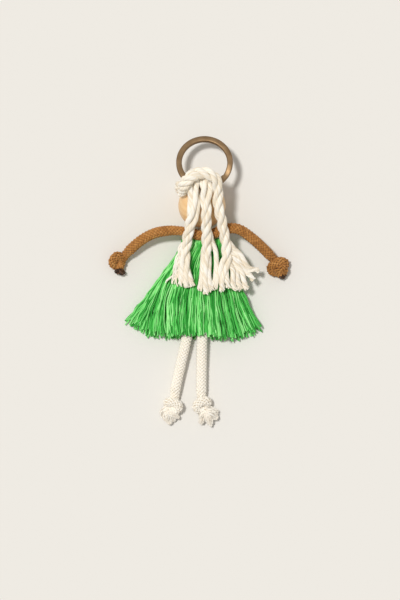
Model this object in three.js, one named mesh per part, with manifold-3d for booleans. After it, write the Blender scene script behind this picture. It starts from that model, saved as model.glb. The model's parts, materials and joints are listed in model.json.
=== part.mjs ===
// Macrame doll on a key ring, lying on its face: bead head, rope hair, fringe dress, knotted limbs.
// Millimetres. +Z up from the surface it lies on, +Y towards the key ring, -Y towards the feet.
import * as THREE from 'three';
import { mergeVertices } from 'three/addons/utils/BufferGeometryUtils.js';
import Module from 'manifold-3d';

const wasm = await Module();
wasm.setup();

// Clearance between pieces that lie against each other.
const GAP = 0.3;

// Wooden bead that makes the head. Its bore lies along Y.
const BEAD_RADIUS = 12.5;
const BEAD_CENTRE = [1.2, 40.1, BEAD_RADIUS];
const BEAD_HALF_LENGTH = 12.1;
const BORE_RADIUS = 3.9;
const BORE_ROUND = 0.6;
const BEAD_ARC_STEPS = 16;
const BEAD_TURN_STEPS = 40;

// Split ring: two turns of flat wire, held at the middle of its wire and tilted so that its far end is lower.
const RING_HOLD = [2.6, 50.05, 22.77];
const RING_INNER_RADIUS = 12;
const RING_WIRE_WIDTH = 3;
const RING_COIL = 1.2;
const RING_COIL_GAP = 0.15;
const RING_CHAMFER = 0.3;
const RING_TILT = 21.6;
const RING_STEP_ANGLE = 36;
const RING_END_GAP = 3;
const RING_STEPS = 104;

// Cords.
const ROPE_RADIUS = 2.95;
const WRAP_RADIUS = 2.8;
const LIMB_RADIUS = 2.75;
const REST_GAP = 0.5;
const TAIL_LIFT = { left: 1, middle: 0.7, right: 1.9 };
const PLY_RADIUS = 1.5;
const PLY_END_RADIUS = 2.4;
const PLY_END_FLATNESS = 0.62;

// Knots at the hands and feet: a tight trefoil of the same cord, pulled thin.
const HAND_KNOT = { spread: 2.2, lobe: 1.8, cord: 2.0 };
const FOOT_KNOT = { spread: 1.8, lobe: 1.55, cord: 2.0 };
const KNOT_CORE_LOBE_SHARE = 0.8;
const KNOT_CORE_FLATNESS = 0.85;
const KNOT_POINTS = 30;

// Dress: eight bundles of fringe over the legs and eight under them, hung on a thin cord.
const DRESS_CORD_RADIUS = 0.95;
const DRESS_CORD_INSET = 1.5;
const NECK_MIDDLE_Z = 8.1;
const NECK_HALF_HEIGHT = 4.7;
const DRESS_SECTIONS = 8;
const DRESS_SIDES = 12;
const DRESS_CORD_POINTS = 32;
const BUNDLE_SQUARENESS = 0.75;

const COLOURS = {
  wood: [0xe6bf87, 0.5, 0],
  steel: [0x8a755a, 0.3, 1],
  hair: [0xf1e6d6, 0.9, 0],
  green: [0x3fb551, 0.9, 0],
  brown: [0x8e5f38, 0.9, 0],
  white: [0xf0ebe2, 0.9, 0],
};

const doll = new THREE.Group();
doll.name = 'macrame_doll';

function addPiece(name, geometry, colourName) {
  const [color, roughness, metalness] = COLOURS[colourName];
  const piece = new THREE.Mesh(geometry, new THREE.MeshStandardMaterial({ color, roughness, metalness }));
  piece.name = name;
  doll.add(piece);
}

// A closed solid through a row of sections, each a loop of the same number of points.
function loft(sections) {
  const sides = sections[0].length;
  const points = sections.flat();
  const faces = [];
  for (let row = 0; row + 1 < sections.length; row += 1) {
    for (let i = 0; i < sides; i += 1) {
      const a = row * sides + i;
      const b = row * sides + (i + 1) % sides;
      faces.push([a, b, a + sides], [b, b + sides, a + sides]);
    }
  }
  const middleOf = (loop) => loop.reduce((sum, p) => sum.add(p), new THREE.Vector3()).divideScalar(sides);
  const first = points.push(middleOf(sections[0])) - 1;
  const last = points.push(middleOf(sections[sections.length - 1])) - 1;
  const lastRow = (sections.length - 1) * sides;
  for (let i = 0; i < sides; i += 1) {
    const next = (i + 1) % sides;
    faces.push([first, next, i], [last, lastRow + i, lastRow + next]);
  }
  const volume = faces.reduce((sum, [a, b, c]) => (
    sum + points[a].dot(points[b].clone().cross(points[c]))), 0);
  const geometry = new THREE.BufferGeometry().setFromPoints(points);
  geometry.setIndex(faces.flatMap(([a, b, c]) => (volume < 0 ? [a, c, b] : [a, b, c])));
  geometry.computeVertexNormals();
  return geometry;
}

function curveThrough(route) {
  return new THREE.CatmullRomCurve3(route.map((p) => new THREE.Vector3(...p)), false, 'centripetal');
}

// A cord of one thickness along a route.
function cord(route, radius, { sides = 10, step = 3 } = {}) {
  const path = curveThrough(route);
  const section = new THREE.Shape().absarc(0, 0, radius, 0, 2 * Math.PI, false);
  const steps = Math.max(2, Math.round(path.getLength() / step));
  const curveSegments = sides / 2;
  return new THREE.ExtrudeGeometry(section, { extrudePath: path, steps, curveSegments, bevelEnabled: false });
}

// The ball at a cord's end, about which the cord turns.
function endBall(centre, radius) {
  return new THREE.SphereGeometry(radius, 12, 8).translate(...centre);
}

// A loosened ply or tuft, which widens and flattens towards its end.
function looseEnd(route, radius, endRadius, endFlatness) {
  const sides = 8;
  const path = curveThrough(route);
  const steps = Math.max(3, Math.round(path.getLength() / 3));
  const frames = path.computeFrenetFrames(steps, false);
  return loft(Array.from({ length: steps + 1 }, (_, i) => {
    const size = THREE.MathUtils.lerp(radius, endRadius, i / steps);
    const flatness = THREE.MathUtils.lerp(1, endFlatness, i / steps);
    return Array.from({ length: sides }, (__, k) => {
      const angle = (2 * Math.PI * k) / sides;
      const offset = frames.normals[i].clone().multiplyScalar(Math.cos(angle) * size);
      offset.addScaledVector(frames.binormals[i], Math.sin(angle) * size);
      offset.z *= flatness;
      return offset.add(path.getPointAt(i / steps));
    });
  }));
}

function toManifold(geometry) {
  const bare = geometry.clone();
  bare.deleteAttribute('normal');
  bare.deleteAttribute('uv');
  const merged = mergeVertices(bare, 1e-4);
  return new wasm.Manifold(new wasm.Mesh({
    numProp: 3,
    vertProperties: new Float32Array(merged.attributes.position.array),
    triVerts: new Uint32Array(merged.index.array),
  }));
}

function toGeometry(manifold) {
  const mesh = manifold.getMesh();
  const geometry = new THREE.BufferGeometry();
  geometry.setAttribute('position', new THREE.BufferAttribute(mesh.vertProperties, 3));
  geometry.setIndex(new THREE.BufferAttribute(mesh.triVerts, 1));
  geometry.computeVertexNormals();
  return geometry;
}

function unite(geometries) {
  return toGeometry(geometries.map(toManifold).reduce((whole, part) => whole.add(part)));
}

// A knot is a trefoil of the cord, lying flat round a core. It is made in two runs that overlap.
function knotPieces(centre, knot) {
  const points = Array.from({ length: KNOT_POINTS + 2 }, (_, i) => {
    const t = (2 * Math.PI * i) / KNOT_POINTS;
    const reach = knot.spread + knot.lobe * Math.cos(3 * t);
    const [x, y, z] = centre;
    return [x + reach * Math.cos(2 * t), y + reach * Math.sin(2 * t), z + knot.lobe * Math.sin(3 * t)];
  });
  const fine = { sides: 8, step: 1.5 };
  const core = new THREE.SphereGeometry(knot.spread + knot.lobe * KNOT_CORE_LOBE_SHARE, 12, 8);
  core.scale(1, 1, KNOT_CORE_FLATNESS);
  core.translate(...centre);
  const half = KNOT_POINTS / 2;
  return [cord(points.slice(0, half + 2), knot.cord, fine), cord(points.slice(half), knot.cord, fine), core];
}

// Head bead.
function beadGeometry() {
  const rim = BORE_RADIUS + BORE_ROUND;
  const startAngle = Math.asin(rim / BEAD_RADIUS);
  const profile = [];
  for (let i = 0; i <= BEAD_ARC_STEPS; i += 1) {
    const angle = THREE.MathUtils.lerp(startAngle, Math.PI - startAngle, i / BEAD_ARC_STEPS);
    profile.push(new THREE.Vector2(BEAD_RADIUS * Math.sin(angle), -BEAD_HALF_LENGTH * Math.cos(angle)));
  }
  const mouth = BEAD_HALF_LENGTH * Math.cos(startAngle) - BORE_ROUND;
  profile.push(new THREE.Vector2(BORE_RADIUS, mouth));
  profile.push(new THREE.Vector2(BORE_RADIUS, -mouth));
  profile.push(profile[0].clone());
  const bead = new THREE.LatheGeometry(profile, BEAD_TURN_STEPS);
  bead.translate(...BEAD_CENTRE);
  return bead;
}

// Split ring: each turn lies flat, and the wire steps from one level to the other in a short stretch.
function splitRingGeometry() {
  const level = (RING_COIL + RING_COIL_GAP) / 2;
  const stepStart = 360 - RING_STEP_ANGLE;
  const end = 360 + stepStart - RING_END_GAP;
  const sections = Array.from({ length: RING_STEPS + 1 }, (_, i) => {
    const degrees = (end * i) / RING_STEPS;
    const rise = THREE.MathUtils.smoothstep(degrees, stepStart, 360 - RING_END_GAP);
    const height = THREE.MathUtils.lerp(-level, level, rise);
    const angle = THREE.MathUtils.degToRad(degrees);
    return wireSection().map(([radius, z]) => new THREE.Vector3(
      radius * Math.cos(angle), radius * Math.sin(angle), height + z));
  });
  const ring = loft(sections);
  ring.translate(0, RING_INNER_RADIUS + RING_WIRE_WIDTH / 2, 0);
  ring.rotateX(THREE.MathUtils.degToRad(-RING_TILT));
  ring.translate(...RING_HOLD);
  return ring;
}

function wireSection() {
  const half = RING_COIL / 2;
  const inner = RING_INNER_RADIUS;
  const outer = inner + RING_WIRE_WIDTH;
  const cut = RING_CHAMFER;
  return [
    [inner + cut, -half], [outer - cut, -half], [outer, cut - half], [outer, half - cut],
    [outer - cut, half], [inner + cut, half], [inner, half - cut], [inner, cut - half],
  ];
}

// A rope's point beside the bead, moved along the line from the bead's middle until only the gap is left.
function onBead(point, gap = REST_GAP) {
  const middle = new THREE.Vector3(...BEAD_CENTRE);
  const away = new THREE.Vector3(...point).sub(middle).setLength(BEAD_RADIUS + WRAP_RADIUS + gap);
  return middle.add(away).toArray();
}

// A rope's point at the ring, given from the middle of the wire that the ropes hold.
function byRing([x, y, z]) {
  return [RING_HOLD[0] + x, RING_HOLD[1] + y, RING_HOLD[2] + z];
}

// Hair. Two ropes turn round the ring, and all three run over the bead to a free tail.
const LEFT_TAIL_START = onBead([-4.5, 31.3, 25], TAIL_LIFT.left);
const MIDDLE_TAIL_START = onBead([3.5, 31.3, 25.6], TAIL_LIFT.middle);
const RIGHT_TAIL_START = onBead([11.6, 31.3, 22.9], TAIL_LIFT.right);

const LEFT_WRAP = [
  onBead([-7.2, 46.2, 3]), onBead([-9, 48, 8]), onBead([-8.9, 49.8, 12.5]),
  byRing([-10.4, 2.3, -7.5]), byRing([-8.8, 5, -7.7]), byRing([-7.1, 6.2, -6.2]),
  byRing([-6.1, 6.9, -1]), byRing([-5.8, 5.2, 3.5]), byRing([-5.4, 1.7, 4.8]),
  [-2.8, 47.2, 27.4], onBead([-2.8, 42.5, 27.8]), onBead([-3.2, 37.7, 27.5]), [-3.9, 34, 26.3],
];
const MIDDLE_WRAP = [
  [2.6, 20.5, 7.7], [2, 22.2, 7.9], [1.4, 24.2, 8.7], [1.2, 26.6, 10.4], [1.2, 29.2, 12.1],
  [1.2, 35, 12.5], [1.2, 44.1, 12.5], [1.2, 50.4, 12.5], byRing([-1.3, 4.3, -10]),
  byRing([-0.5, 7.1, -7.4]), byRing([-0.1, 7.5, -3.4]), byRing([0, 6.3, 1]),
  byRing([0.2, 3.8, 4.4]), byRing([0.5, 0.4, 5.6]), [3.4, 47.2, 28.4],
  onBead([3.4, 43, 28.5]), onBead([3.5, 38.8, 28.4]), [3.5, 35, 27.5],
];
// Starts at the bead's left shoulder and lies across the turns of the other two.
const RIGHT_WRAP = [
  onBead([-7.9, 45.7, 20.5]), byRing([-11.3, -2, 2.4]), byRing([-10.8, 0.4, 8]),
  byRing([-9.1, 2.9, 10.3]), byRing([-6.6, 5, 10.7]), byRing([-3.3, 6.4, 10.3]),
  byRing([0.2, 6.7, 9.9]), byRing([3.4, 5.6, 9.8]), byRing([5.8, 3.2, 8.6]),
  byRing([6.8, 0.2, 6.4]), [9.6, 46.4, 27.3],
  onBead([9.9, 41.4, 26.3]), onBead([10.6, 36.6, 25.4]), [11.2, 33.5, 24.1],
];

const LEFT_TAIL = [
  LEFT_TAIL_START, [-5.8, 26, 22.2], [-6.8, 20.7, 19.8], [-8.1, 14.9, 18], [-8.7, 9.6, 17.6],
];
const MIDDLE_TAIL = [
  MIDDLE_TAIL_START, [3.6, 26, 22.9], [3.6, 20.2, 20.2], [3.5, 13.8, 18.7], [3.1, 8, 18.2],
];
const RIGHT_TAIL = [RIGHT_TAIL_START, [12.7, 26, 20.9], [13.6, 21.3, 19.1], [14.1, 17.6, 18]];

const LEFT_PLIES = [
  [[-9.6, 13.3, 17.8], [-12, 5.4, 16.9], [-14.5, -1.5, 15.6]],
  [[-8.6, 12.3, 17.8], [-8.8, 4.8, 17.2], [-9.4, -2.6, 16.4]],
  [[-7.5, 13.3, 17.8], [-6.2, 4.8, 17.5], [-4.3, -3.4, 17]],
];
const MIDDLE_PLIES = [
  [[2.6, 12.3, 18.4], [1.8, 2.7, 17.8], [1.1, -5.5, 17]],
  [[3.9, 12.3, 18.4], [4.4, 2.7, 17.8], [4.7, -5, 17]],
  [[4.4, 21.8, 20.4], [6.5, 17, 18.6], [7.3, 9.6, 17.8], [8.2, -3.1, 17.2]],
];
const RIGHT_PLIES = [
  [[13.2, 20.2, 18.6], [14, 10.1, 17], [13.5, -4.2, 15.8]],
  [[14.2, 20.2, 18.6], [16.6, 12.3, 16.6], [20.3, 3.8, 14.8], [23, -2.6, 13.4]],
  [[15, 20.7, 18.6], [19.3, 14.9, 16.6], [24.6, 9.6, 14.2], [28.8, 5.4, 11.6]],
];

// The wrap stops short of the tail's round end, which turns on the tail's first point.
function shortOf(route, tailStart) {
  const last = new THREE.Vector3(...route[route.length - 1]);
  const end = new THREE.Vector3(...tailStart);
  const back = last.clone().sub(end).normalize().multiplyScalar(ROPE_RADIUS + GAP);
  return [...route.slice(0, -1), end.add(back).toArray()];
}

function addHair(side, wrap, tail, plies) {
  addPiece(`hair_${side}_wrap`, cord(shortOf(wrap, tail[0]), WRAP_RADIUS, { step: 2.4 }), 'hair');
  const loose = plies.map((ply) => looseEnd(ply, PLY_RADIUS, PLY_END_RADIUS, PLY_END_FLATNESS));
  const free = [cord(tail, ROPE_RADIUS), endBall(tail[0], ROPE_RADIUS), ...loose];
  addPiece(`hair_${side}_tail`, unite(free), 'hair');
}

// Arms: one brown cord under the head, with a knot at each hand.
const LEFT_SHOULDER = [-6.7, 26.1, 15.2];
const RIGHT_SHOULDER = [11.8, 27.1, 15.2];
const ARM_MIDDLE = [
  [-3.8, 25.4, 15.5], [-1.2, 24.5, 15.6], [2.6, 24.1, 15.6], [6, 24.7, 15.6],
  [9, 25.8, 15.4],
];
const LEFT_ARM = [
  LEFT_SHOULDER, [-10.4, 26.6, 14.6], [-15.7, 26.8, 13.2], [-23.7, 25.5, 10.9], [-30.6, 22, 8.8],
  [-36.7, 16.9, 6.6], [-41.8, 11.9, 4.6],
];
const RIGHT_ARM = [
  RIGHT_SHOULDER, [16.1, 28, 14.6], [20.8, 27.4, 13.7], [26.7, 23.6, 11.8], [33, 18.1, 9.3],
  [38.3, 12.8, 6.6], [42, 8.8, 4.6],
];
const LEFT_HAND = [-43.6, 10.4, 4];
const RIGHT_HAND = [43, 7.7, 4];
const LEFT_ARM_STUB = [[-43.5, 8.8, 3.9], [-43.4, 3.8, 3.2]];
const RIGHT_ARM_STUB = [[43.3, 6.6, 3.9], [44, 1.9, 3.2]];

// Legs: one white cord folded at the hips, with a knot and a short frayed tail at each foot.
const LEFT_HIP = [-0.1, 10.9, 7.7];
const RIGHT_HIP = [5.6, 10.9, 7.7];
const LEFT_LEG = [
  LEFT_HIP, [-0.9, 3.8, 7.2], [-2.9, -8.9, 6.6], [-6.6, -28.6, 6.1], [-10.2, -45, 4.8],
  [-13.2, -59.3, 3.9], [-13.7, -64.1, 3.6],
];
const RIGHT_LEG = [
  RIGHT_HIP, [4.9, 2.7, 7.2], [3.1, -12.7, 6.5], [1.4, -29.6, 6.1], [1, -45, 4.8],
  [0.9, -58.8, 3.9], [0.7, -64.1, 3.6],
];
const LEFT_FOOT = [-13.8, -65.9, 3.6];
const RIGHT_FOOT = [0.7, -65.9, 3.6];
const LEFT_LEG_TAIL = [[-13.8, -67.2, 3.4], [-14, -71.5, 3], [-13.8, -74.9, 2.6]];
const RIGHT_LEG_TAIL = [[0.7, -67.2, 3.4], [1.8, -71.5, 3], [3.1, -75.7, 2.6]];
const STUB_RADIUS = 2.2;
const TUFT_END_RADIUS = 3.4;
const TUFT_END_FLATNESS = 0.65;

function addLimb(name, route, centre, knot, end, colour) {
  const limb = cord(route, LIMB_RADIUS, { step: 3.4 });
  addPiece(name, unite([limb, endBall(route[0], LIMB_RADIUS), ...knotPieces(centre, knot), end]), colour);
}

// The fold that joins the two legs, short of their round ends.
function addLegFold() {
  const middleX = (LEFT_HIP[0] + RIGHT_HIP[0]) / 2;
  const bend = (RIGHT_HIP[0] - LEFT_HIP[0]) / 2;
  const baseY = LEFT_HIP[1] + LIMB_RADIUS + GAP;
  const route = Array.from({ length: 9 }, (_, i) => {
    const angle = Math.PI * (1 - i / 8);
    return [middleX + bend * Math.cos(angle), baseY + bend * Math.sin(angle), LEFT_HIP[2]];
  });
  addPiece('leg_fold', cord(route, LIMB_RADIUS, { step: 1 }), 'white');
}

// Dress. The edges between bundles run from the neck to the hem through a point half way down.
const NECK_EDGES = [-9.4, -6.5, -3.5, -0.4, 2.8, 6, 9.2, 12.1, 15];
const NECK_Y = 18.7;
const MIDDLE_EDGES = [-25.8, -20.5, -15.2, -9.4, -3, 4.1, 10.2, 16.6, 23.2];
const MIDDLE_Y = -5.2;
const HEM_EDGES = [
  [-38.5, -21.1], [-27.9, -29.1], [-16.8, -28.6], [-10.4, -28.3], [-3.3, -28], [4.4, -28.3], [14, -30.4],
  [24, -29.4], [33.6, -24.3],
];
// Heights of each bundle's middle at the neck, half way and at the hem, and its half thickness there.
const BACK_HEIGHTS = [
  [9.6, 6.9, 5], [11.4, 9.2, 6.6], [12.6, 12.1, 10.8], [13, 12.3, 10.8],
  [13, 12.3, 10.8], [12.6, 12.2, 10.8], [11.4, 9.6, 6.6], [9.6, 7.3, 5],
];
const BACK_HALF_THICKNESS = [2, 2.1, 1.3];
const FRONT_HEIGHTS = [
  [5.3, 2.4, 1.5], [4.2, 2.05, 1.5], [3.4, 1.95, 1.5], [3.1, 1.9, 1.5],
  [3.1, 1.9, 1.5], [3.4, 1.95, 1.5], [4.2, 2.05, 1.5], [5.3, 2.4, 1.5],
];
const FRONT_HALF_THICKNESS = [1.6, 1.65, 1.35];
const FRONT_EXTRA_LENGTH = 1.6;

// The smooth value at a share of the way through three values, at 0, one half and 1.
function through(values, share) {
  const [start, middle, end] = values;
  const control = 2 * middle - (start + end) / 2;
  return (1 - share) ** 2 * start + 2 * share * (1 - share) * control + share ** 2 * end;
}

function edgePoint(index, share, extra) {
  const [hemX, hemY] = HEM_EDGES[index];
  const x = through([NECK_EDGES[index], MIDDLE_EDGES[index], hemX], share);
  const y = through([NECK_Y, MIDDLE_Y, hemY], share) - extra * share;
  return new THREE.Vector3(x, y, 0);
}

function bundleGeometry(index, heights, halfThickness, extra) {
  const sections = [];
  for (let row = 0; row <= DRESS_SECTIONS; row += 1) {
    const share = row / DRESS_SECTIONS;
    const left = edgePoint(index, share, extra);
    const right = edgePoint(index + 1, share, extra);
    const across = right.clone().sub(left);
    const halfWidth = across.length() / 2 - GAP / 2;
    const thick = through(halfThickness, share);
    const middle = left.clone().add(right).multiplyScalar(0.5);
    middle.z = through(heights[index], share);
    across.normalize();
    sections.push(Array.from({ length: DRESS_SIDES }, (_, k) => {
      const angle = (2 * Math.PI * (k + 0.5)) / DRESS_SIDES;
      const wide = Math.sign(Math.cos(angle)) * Math.abs(Math.cos(angle)) ** BUNDLE_SQUARENESS;
      const high = Math.sign(Math.sin(angle)) * Math.abs(Math.sin(angle)) ** BUNDLE_SQUARENESS;
      const point = middle.clone().addScaledVector(across, wide * halfWidth);
      point.z += high * thick;
      return point;
    }));
  }
  return loft(sections);
}

// The cord that the fringe hangs on is an oval loop round the neck, made in two runs that overlap.
function dressCordGeometry() {
  const middleX = (NECK_EDGES[8] + NECK_EDGES[0]) / 2;
  const halfWidth = (NECK_EDGES[8] - NECK_EDGES[0]) / 2 - DRESS_CORD_INSET;
  const y = NECK_Y + DRESS_CORD_RADIUS + GAP;
  const points = Array.from({ length: DRESS_CORD_POINTS + 2 }, (_, i) => {
    const angle = (2 * Math.PI * i) / DRESS_CORD_POINTS;
    return [middleX + halfWidth * Math.cos(angle), y, NECK_MIDDLE_Z + NECK_HALF_HEIGHT * Math.sin(angle)];
  });
  const half = DRESS_CORD_POINTS / 2;
  const fine = { sides: 8, step: 1.6 };
  const runs = [points.slice(0, half + 2), points.slice(half)];
  return unite(runs.map((run) => cord(run, DRESS_CORD_RADIUS, fine)));
}

addPiece('split_ring', splitRingGeometry(), 'steel');
addPiece('head_bead', beadGeometry(), 'wood');
addHair('left', LEFT_WRAP, LEFT_TAIL, LEFT_PLIES);
addHair('middle', MIDDLE_WRAP, MIDDLE_TAIL, MIDDLE_PLIES);
addHair('right', RIGHT_WRAP, RIGHT_TAIL, RIGHT_PLIES);

addPiece('arm_middle', cord(ARM_MIDDLE, LIMB_RADIUS, { step: 2.5 }), 'brown');
const leftStub = cord(LEFT_ARM_STUB, STUB_RADIUS, { sides: 8 });
const rightStub = cord(RIGHT_ARM_STUB, STUB_RADIUS, { sides: 8 });
addLimb('arm_left', LEFT_ARM, LEFT_HAND, HAND_KNOT, leftStub, 'brown');
addLimb('arm_right', RIGHT_ARM, RIGHT_HAND, HAND_KNOT, rightStub, 'brown');

addLegFold();
const leftTuft = looseEnd(LEFT_LEG_TAIL, STUB_RADIUS, TUFT_END_RADIUS, TUFT_END_FLATNESS);
const rightTuft = looseEnd(RIGHT_LEG_TAIL, STUB_RADIUS, TUFT_END_RADIUS, TUFT_END_FLATNESS);
addLimb('leg_left', LEFT_LEG, LEFT_FOOT, FOOT_KNOT, leftTuft, 'white');
addLimb('leg_right', RIGHT_LEG, RIGHT_FOOT, FOOT_KNOT, rightTuft, 'white');

addPiece('dress_cord', dressCordGeometry(), 'green');
for (let i = 0; i < BACK_HEIGHTS.length; i += 1) {
  addPiece(`dress_back_${i + 1}`, bundleGeometry(i, BACK_HEIGHTS, BACK_HALF_THICKNESS, 0), 'green');
}
for (let i = 0; i < FRONT_HEIGHTS.length; i += 1) {
  const bundle = bundleGeometry(i, FRONT_HEIGHTS, FRONT_HALF_THICKNESS, FRONT_EXTRA_LENGTH);
  addPiece(`dress_front_${i + 1}`, bundle, 'green');
}

export default doll;
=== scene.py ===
import itertools
import json
import math
from functools import partial

import bmesh
import bpy
import numpy as np
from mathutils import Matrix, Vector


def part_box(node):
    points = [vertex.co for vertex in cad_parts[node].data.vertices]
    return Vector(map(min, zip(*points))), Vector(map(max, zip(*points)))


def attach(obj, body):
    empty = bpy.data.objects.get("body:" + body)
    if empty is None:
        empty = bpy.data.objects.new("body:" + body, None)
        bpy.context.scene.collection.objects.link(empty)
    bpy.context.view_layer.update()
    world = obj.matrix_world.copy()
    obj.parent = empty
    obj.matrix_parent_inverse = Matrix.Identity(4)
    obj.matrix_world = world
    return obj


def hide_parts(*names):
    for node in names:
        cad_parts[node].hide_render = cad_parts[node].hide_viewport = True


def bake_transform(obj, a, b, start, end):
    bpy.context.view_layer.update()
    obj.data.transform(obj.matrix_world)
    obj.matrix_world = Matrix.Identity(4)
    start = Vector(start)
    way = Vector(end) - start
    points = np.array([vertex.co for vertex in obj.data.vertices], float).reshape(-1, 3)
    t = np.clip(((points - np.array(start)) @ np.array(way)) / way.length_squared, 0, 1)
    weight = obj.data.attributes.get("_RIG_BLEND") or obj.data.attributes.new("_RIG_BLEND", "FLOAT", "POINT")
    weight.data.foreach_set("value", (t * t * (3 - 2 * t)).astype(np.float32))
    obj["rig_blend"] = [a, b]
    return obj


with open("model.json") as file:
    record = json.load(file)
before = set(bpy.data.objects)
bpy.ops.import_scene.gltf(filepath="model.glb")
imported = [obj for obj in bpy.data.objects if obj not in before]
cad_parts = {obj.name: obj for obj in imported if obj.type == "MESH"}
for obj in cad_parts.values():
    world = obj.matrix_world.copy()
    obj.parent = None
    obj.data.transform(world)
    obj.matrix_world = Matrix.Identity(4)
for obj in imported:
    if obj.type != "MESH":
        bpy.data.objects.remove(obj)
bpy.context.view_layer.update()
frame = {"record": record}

# Macrame doll on a key ring, lying on its face. Metres, +Z up, +Y towards the ring.
scene = bpy.context.scene
scene.view_settings.view_transform = "Standard"
pivots = {joint["name"]: joint["pos_m"] for joint in frame["record"]["behaviour"]["joints"]}


# Small helpers
def colour(code):
    parts = [int(code[i:i + 2], 16) / 255 for i in (0, 2, 4)]
    return tuple(p / 12.92 if p <= 0.04045 else ((p + 0.055) / 1.055) ** 2.4 for p in parts) + (1.0,)


def addNode(tree, kind, inputs=None, **settings):
    node = tree.nodes.new(kind)
    for key, value in settings.items():
        setattr(node, key, value)
    for key, value in (inputs or {}).items():
        if isinstance(value, bpy.types.Node):
            value = value.outputs[0]  # a node given whole stands for its first output
        if isinstance(value, bpy.types.NodeSocket):
            tree.links.new(value, node.inputs[key])
        else:
            node.inputs[key].default_value = value
    return node


def addPiece(name, mesh, material=None):
    piece = bpy.data.objects.new(name, mesh)
    scene.collection.objects.link(piece)
    if material:
        mesh.materials.append(material)
    return piece


def closedMesh(name, points, faces):
    mesh = bpy.data.meshes.new(name)
    mesh.from_pydata(points, [], faces)
    shape = bmesh.new()
    shape.from_mesh(mesh)
    bmesh.ops.recalc_face_normals(shape, faces=shape.faces)
    shape.to_mesh(mesh)
    shape.free()
    mesh.shade_smooth()
    return mesh


# Light, camera and floor
def setStage():
    stage = {
        "pixel": 0.00053,  # real width of one pixel of the photograph
        "rows": 600,  # its height in pixels
        "middle": [0.0002, -0.01],
        "focus": 0.012,  # height at which a pixel has that width
        "lens": 250,
        "sensor": 36,
        "sunFall": (0.27, -0.21, -1.0),
        "sunPower": 2.12,
        "sunSpread": 7,  # degrees, as wide as a window, so that shadows end softly
        "sunColour": (1.0, 0.985, 0.955),
        "sky": "fffcf7",
        "skyPower": 0.42,
        "floor": "e9e7e3",
        "floorReach": 2.0,
    }
    lens = bpy.data.cameras.new("camera")
    lens.lens = stage["lens"]
    lens.sensor_width = stage["sensor"]
    away = stage["pixel"] * stage["rows"] * stage["lens"] / stage["sensor"]
    lens.clip_end = away * 4
    camera = bpy.data.objects.new("camera", lens)
    camera.location = (*stage["middle"], stage["focus"] + away)
    scene.collection.objects.link(camera)
    scene.camera = camera

    sun = bpy.data.lights.new("window", "SUN")
    sun.energy = stage["sunPower"]
    sun.angle = math.radians(stage["sunSpread"])
    sun.color = stage["sunColour"]
    lamp = bpy.data.objects.new("window", sun)
    fall = np.array(stage["sunFall"]) / np.linalg.norm(stage["sunFall"])
    lamp.rotation_euler = (math.acos(-fall[2]), 0, math.atan2(fall[1], fall[0]) - math.pi / 2)
    scene.collection.objects.link(lamp)

    world = bpy.data.worlds.new("room")
    scene.world = world
    world.use_nodes = True
    world.node_tree.nodes.clear()
    node = partial(addNode, world.node_tree)
    path = node("ShaderNodeLightPath")
    room = node("ShaderNodeBackground", {"Color": colour(stage["sky"]), "Strength": stage["skyPower"]})
    white = node("ShaderNodeBackground", {"Color": (1, 1, 1, 1), "Strength": 1.0})
    seen = node("ShaderNodeMath",
                {0: path.outputs["Is Camera Ray"], 1: path.outputs["Is Glossy Ray"]}, operation="MAXIMUM")
    both = node("ShaderNodeMixShader", {0: seen, 1: room, 2: white})
    node("ShaderNodeOutputWorld", {0: both})

    ground = bpy.data.meshes.new("floor")
    reach = stage["floorReach"]
    corners = [(-reach, -reach, 0), (reach, -reach, 0), (reach, reach, 0), (-reach, reach, 0)]
    ground.from_pydata(corners, [], [(0, 1, 2, 3)])
    # Matt paper without any gloss: nothing shows on it but the doll's soft shadow.
    paper = bpy.data.materials.new("pale paper")
    paper.use_nodes = True
    surface = paper.node_tree.nodes["Principled BSDF"]
    surface.inputs["Base Color"].default_value = colour(stage["floor"])
    surface.inputs["Roughness"].default_value = 1.0
    surface.inputs["Specular IOR Level"].default_value = 0.0
    addPiece("floor", ground, paper)
    print("stage: camera", round(away, 3), "m up")


setStage()


# Materials
def startMaterial(name, finish):
    material = bpy.data.materials.new(name)
    material.use_nodes = True
    tree = material.node_tree
    surface = tree.nodes["Principled BSDF"]
    for key, value in finish.items():
        surface.inputs[key].default_value = value
    node = partial(addNode, tree)
    return material, surface, node, node("ShaderNodeTexCoord").outputs["Object"]


def finishMaterial(material, surface, shown, relief, strength):
    depth = 0.0001
    bump = addNode(material.node_tree, "ShaderNodeBump",
                   {"Strength": strength, "Distance": depth, "Height": relief})
    material.node_tree.links.new(shown, surface.inputs["Base Color"])
    material.node_tree.links.new(bump.outputs[0], surface.inputs["Normal"])


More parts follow.
